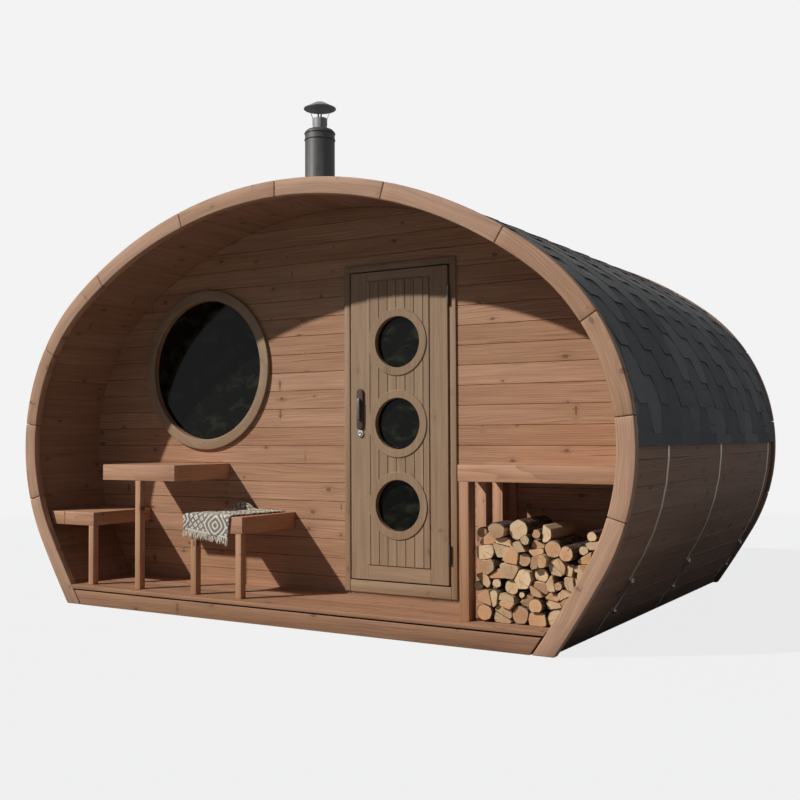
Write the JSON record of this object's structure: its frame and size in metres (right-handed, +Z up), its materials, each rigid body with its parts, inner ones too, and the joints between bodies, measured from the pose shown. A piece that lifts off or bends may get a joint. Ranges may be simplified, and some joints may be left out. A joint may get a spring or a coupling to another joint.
{
  "type": "outdoor sauna cabin",
  "caption": "Wide oval barrel sauna cabin of wooden staves with a shingled roof, an open porch with seats, a wood store, a round window and a hinged door with portholes.",
  "frame": {"origin": "bottom centre of the building's bounding box, on the ground", "axes": "+Z up, +X to the right as seen from the porch, +Y from the porch into the cabin"},
  "size_m": [4.0284, 2.9, 3.267],
  "materials": {
    "thermo_wood": "warm red-brown heat-treated softwood, planed",
    "door_wood": "paler grey-brown planed wood",
    "shingle": "dark charcoal hexagonal felt shingles",
    "glass": "dark tinted glass",
    "steel": "galvanised steel",
    "flue_metal": "dark grey satin metal",
    "firewood": "split logs with pale ends and dark bark",
    "blanket": "cream woven blanket with a dark grey traditional diamond ornament",
    "handle": "dark wooden door pull"
  },
  "bodies": {
    "cabin": {"front_ring": "thermo_wood", "rear_ring": "thermo_wood", "staves_left_roof": "thermo_wood", "staves_left_side": "thermo_wood", "staves_left_base": "thermo_wood", "staves_right_roof": "thermo_wood", "staves_right_side": "thermo_wood", "staves_right_base": "thermo_wood", "roof_shingles": "shingle", "end_beams": "thermo_wood", "floor_bearers": "thermo_wood", "porch_deck": "thermo_wood", "cabin_floor": "thermo_wood", "front_wall_left": "thermo_wood", "front_wall_right": "thermo_wood", "front_wall_top": "thermo_wood", "round_window_frame": "door_wood", "round_window_glass": "glass", "rear_wall": "thermo_wood", "rear_window_frame": "door_wood", "rear_window_glass": "glass", "door_frame": "door_wood", "door_hinge_frame_side": "steel", "bench_seat": "thermo_wood", "table_top": "thermo_wood", "stool_seat": "thermo_wood", "porch_legs": "thermo_wood", "throw": "blanket", "store_shelf": "thermo_wood", "store_slats": "thermo_wood", "firewood": "firewood", "shell_straps": "steel", "strap_tensioners": "steel", "flue_outer": "flue_metal", "flue_cap": "flue_metal"},
    "door": {"door_leaf": "door_wood", "door_panel": "door_wood", "porthole_glass": "glass", "door_handle_plate": "handle", "door_pull_and_lock": "steel", "door_hinge_leaf_side": "steel"}
  },
  "joints": [
    {"name": "door_hinge", "type": "hinge", "parent": "cabin", "child": "door", "pos_m": [0.783, -0.92, 1.085], "axis": [0, 0, 1], "range_deg": [0, 95]}
  ]
}
